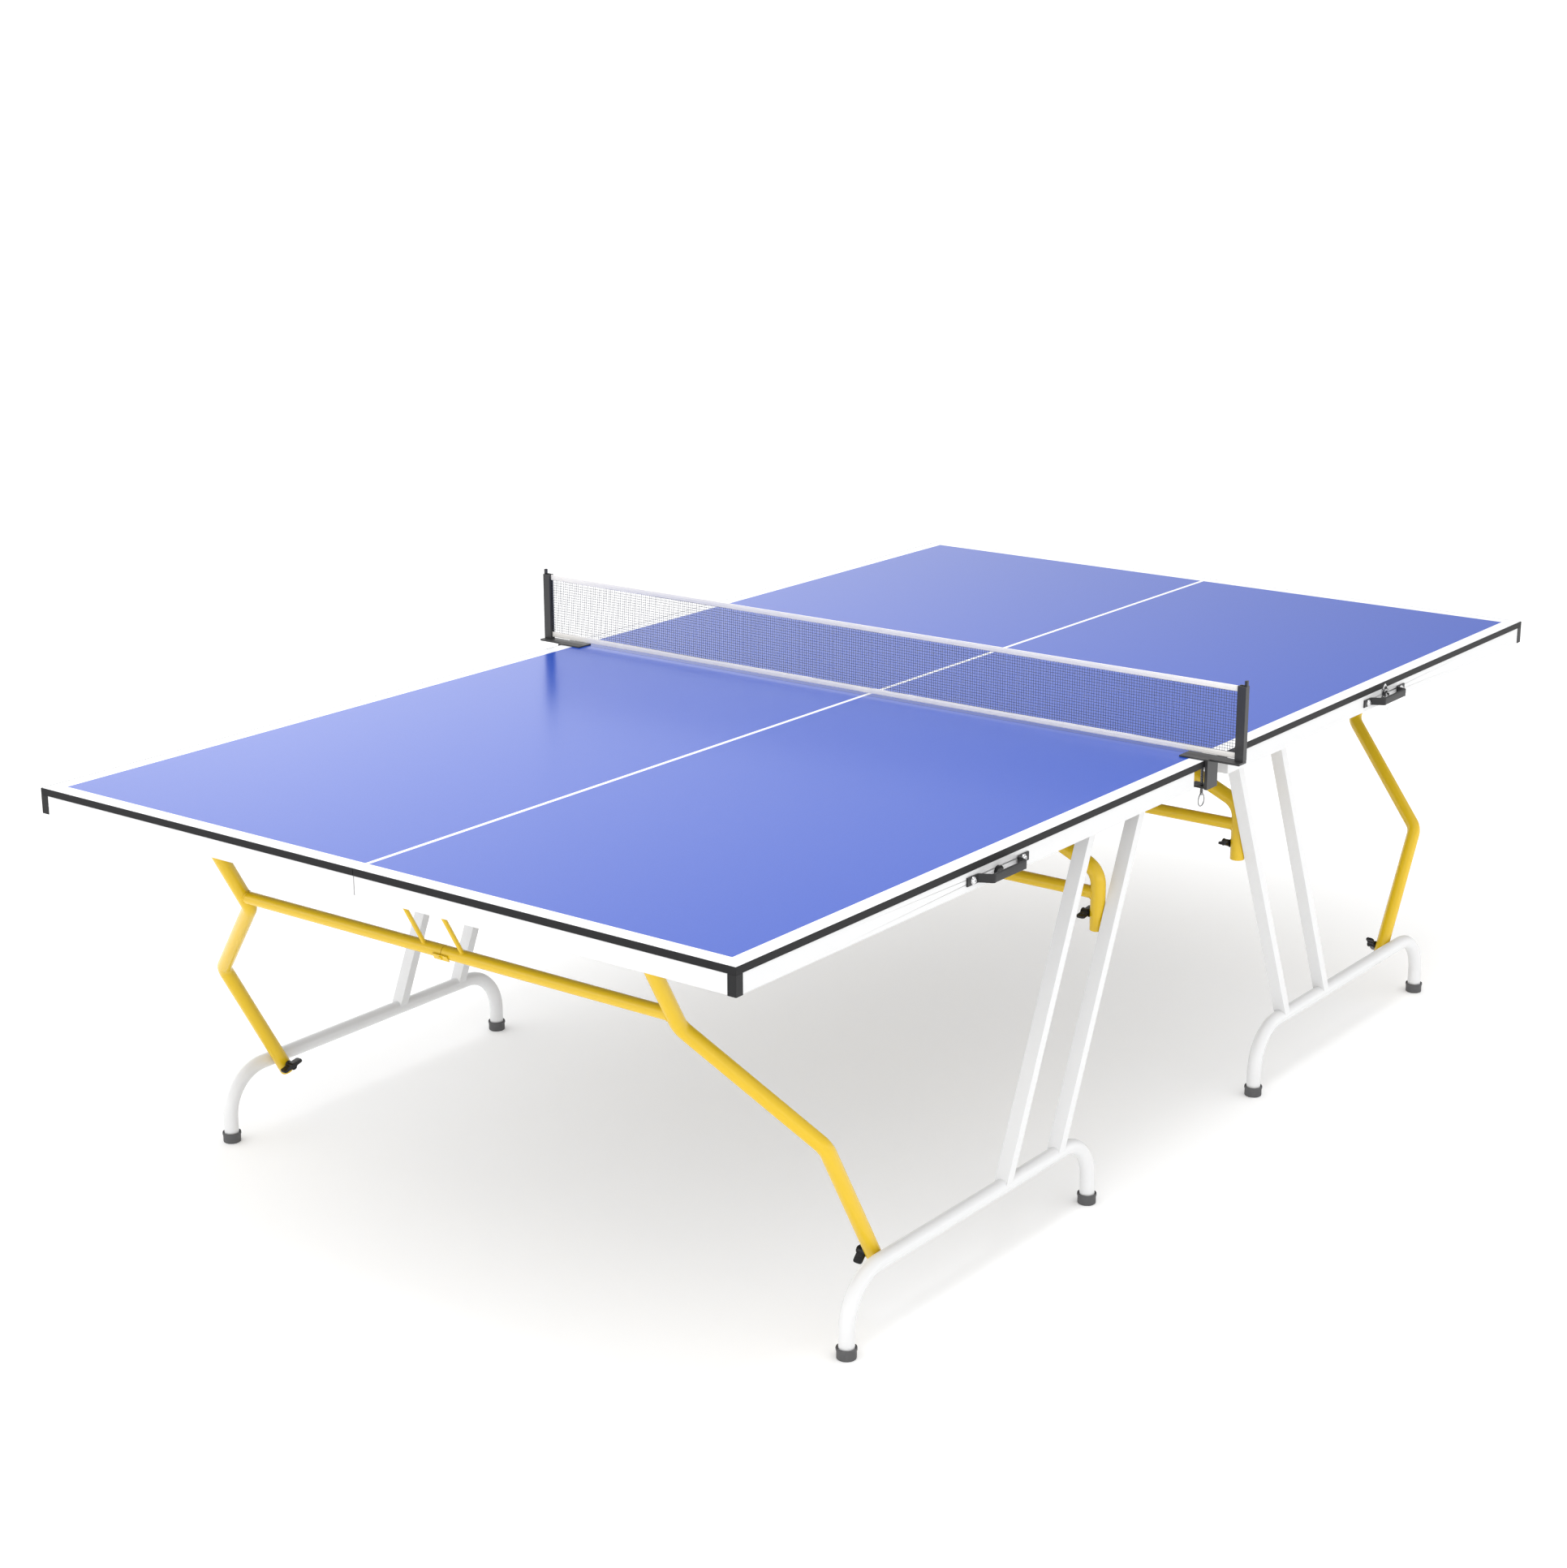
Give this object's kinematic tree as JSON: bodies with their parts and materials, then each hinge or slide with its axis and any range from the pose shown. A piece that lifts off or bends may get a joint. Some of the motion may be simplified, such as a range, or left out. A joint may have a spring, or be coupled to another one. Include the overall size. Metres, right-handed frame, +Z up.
{
  "type": "ping pong table",
  "caption": "Folding table tennis table: blue boards with white lines in a dark edge band, white apron and leg frames, yellow folding braces with wing knobs, and a clamp-on net.",
  "frame": {"origin": "on the floor, under the middle of the net", "axes": "+X along the table towards its far end, +Y across it towards its left side, +Z up; the near half has X < 0"},
  "size_m": [2.74, 1.653, 0.91],
  "materials": {
    "board": "semi-gloss blue coating with white lines",
    "edge_band": "satin dark grey",
    "corner_protector": "satin dark grey",
    "apron": "white powder coat",
    "leg_frame": "white powder coat",
    "foot_cap": "matte dark grey",
    "bracket": "zinc plated",
    "bolt": "zinc plated",
    "brace": "glossy yellow powder coat",
    "knob": "glossy black",
    "net": "fine dark mesh between white tapes",
    "net_post": "satin dark grey",
    "net_clamp": "satin dark grey",
    "clamp_screw": "bright plated",
    "handle": "satin black",
    "latch": "bright plated",
    "latch_keeper": "black"
  },
  "bodies": {
    "table": {"near_left_board": "board", "near_right_board": "board", "far_left_board": "board", "far_right_board": "board", "near_left_edge_band": "edge_band", "near_right_edge_band": "edge_band", "far_left_edge_band": "edge_band", "far_right_edge_band": "edge_band", "near_left_apron": "apron", "near_right_apron": "apron", "far_left_apron": "apron", "far_right_apron": "apron", "corner_protectors": "corner_protector", "near_left_leg_frame": "leg_frame", "near_right_leg_frame": "leg_frame", "far_left_leg_frame": "leg_frame", "far_right_leg_frame": "leg_frame", "foot_caps": "foot_cap", "leg_brackets": "bracket", "leg_pivot_bolts": "bolt", "brace_brackets": "bracket", "brace_pins": "bolt", "seam_hinges": "bracket", "net": "net", "net_post_left": "net_post", "net_post_right": "net_post", "net_clamp_left": "net_clamp", "net_clamp_right": "net_clamp", "near_left_handle": "handle", "near_right_handle": "handle", "far_left_handle": "handle", "far_right_handle": "handle", "handle_screws": "bolt", "latch_bases": "latch", "latch_keepers": "latch_keeper"},
    "near_outer_brace": {"near_outer_brace_left": "brace", "near_outer_brace_right": "brace", "near_outer_coupler": "brace"},
    "near_outer_knob_left": {"near_outer_knob_left": "knob"},
    "near_outer_knob_right": {"near_outer_knob_right": "knob"},
    "near_inner_brace": {"near_inner_brace_left": "brace", "near_inner_brace_right": "brace", "near_inner_coupler": "brace"},
    "near_inner_knob_left": {"near_inner_knob_left": "knob"},
    "near_inner_knob_right": {"near_inner_knob_right": "knob"},
    "far_outer_brace": {"far_outer_brace_left": "brace", "far_outer_brace_right": "brace", "far_outer_coupler": "brace"},
    "far_outer_knob_left": {"far_outer_knob_left": "knob"},
    "far_outer_knob_right": {"far_outer_knob_right": "knob"},
    "far_inner_brace": {"far_inner_brace_left": "brace", "far_inner_brace_right": "brace", "far_inner_coupler": "brace"},
    "far_inner_knob_left": {"far_inner_knob_left": "knob"},
    "far_inner_knob_right": {"far_inner_knob_right": "knob"},
    "clamp_screw_left": {"clamp_screw_left": "clamp_screw"},
    "clamp_screw_right": {"clamp_screw_right": "clamp_screw"},
    "near_latch_lever": {"near_latch_lever": "latch"},
    "far_latch_lever": {"far_latch_lever": "latch"}
  },
  "joints": [
    {"name": "near_outer_fold", "type": "hinge", "parent": "table", "child": "near_outer_brace", "pos_m": [-1.261, 0, 0.722], "axis": [0, -1, 0], "range_deg": [0, 60]},
    {"name": "near_inner_fold", "type": "hinge", "parent": "table", "child": "near_inner_brace", "pos_m": [-0.25544, 0, 0.722], "axis": [0, 1, 0], "range_deg": [0, 90]},
    {"name": "near_outer_knob_left_turn", "type": "hinge", "parent": "near_outer_brace", "child": "near_outer_knob_left", "pos_m": [-0.925, 0.673, 0.128], "axis": [0, 1, 0], "continuous": true},
    {"name": "near_outer_knob_right_turn", "type": "hinge", "parent": "near_outer_brace", "child": "near_outer_knob_right", "pos_m": [-0.925, -0.673, 0.128], "axis": [0, 1, 0], "continuous": true},
    {"name": "near_inner_knob_left_turn", "type": "hinge", "parent": "near_inner_brace", "child": "near_inner_knob_left", "pos_m": [-0.25544, 0.673, 0.52], "axis": [0, 1, 0], "continuous": true},
    {"name": "near_inner_knob_right_turn", "type": "hinge", "parent": "near_inner_brace", "child": "near_inner_knob_right", "pos_m": [-0.25544, -0.673, 0.52], "axis": [0, 1, 0], "continuous": true},
    {"name": "far_outer_fold", "type": "hinge", "parent": "table", "child": "far_outer_brace", "pos_m": [1.261, 0, 0.722], "axis": [0, 1, 0], "range_deg": [0, 60]},
    {"name": "far_inner_fold", "type": "hinge", "parent": "table", "child": "far_inner_brace", "pos_m": [0.25544, 0, 0.722], "axis": [0, -1, 0], "range_deg": [0, 90]},
    {"name": "far_outer_knob_left_turn", "type": "hinge", "parent": "far_outer_brace", "child": "far_outer_knob_left", "pos_m": [0.925, 0.673, 0.128], "axis": [0, 1, 0], "continuous": true},
    {"name": "far_outer_knob_right_turn", "type": "hinge", "parent": "far_outer_brace", "child": "far_outer_knob_right", "pos_m": [0.925, -0.673, 0.128], "axis": [0, 1, 0], "continuous": true},
    {"name": "far_inner_knob_left_turn", "type": "hinge", "parent": "far_inner_brace", "child": "far_inner_knob_left", "pos_m": [0.25544, 0.673, 0.52], "axis": [0, 1, 0], "continuous": true},
    {"name": "far_inner_knob_right_turn", "type": "hinge", "parent": "far_inner_brace", "child": "far_inner_knob_right", "pos_m": [0.25544, -0.673, 0.52], "axis": [0, 1, 0], "continuous": true},
    {"name": "clamp_screw_left_turn", "type": "hinge", "parent": "table", "child": "clamp_screw_left", "pos_m": [-0.01, 0.7485, 0.7], "axis": [0, 0, 1], "continuous": true},
    {"name": "clamp_screw_right_turn", "type": "hinge", "parent": "table", "child": "clamp_screw_right", "pos_m": [-0.01, -0.7485, 0.7], "axis": [0, 0, 1], "continuous": true},
    {"name": "near_latch_turn", "type": "hinge", "parent": "table", "child": "near_latch_lever", "pos_m": [-0.698, 0.7665, 0.7325], "axis": [-1, 0, 0], "range_deg": [0, 90]},
    {"name": "far_latch_turn", "type": "hinge", "parent": "table", "child": "far_latch_lever", "pos_m": [0.698, -0.7665, 0.7325], "axis": [1, 0, 0], "range_deg": [0, 90]}
  ]
}
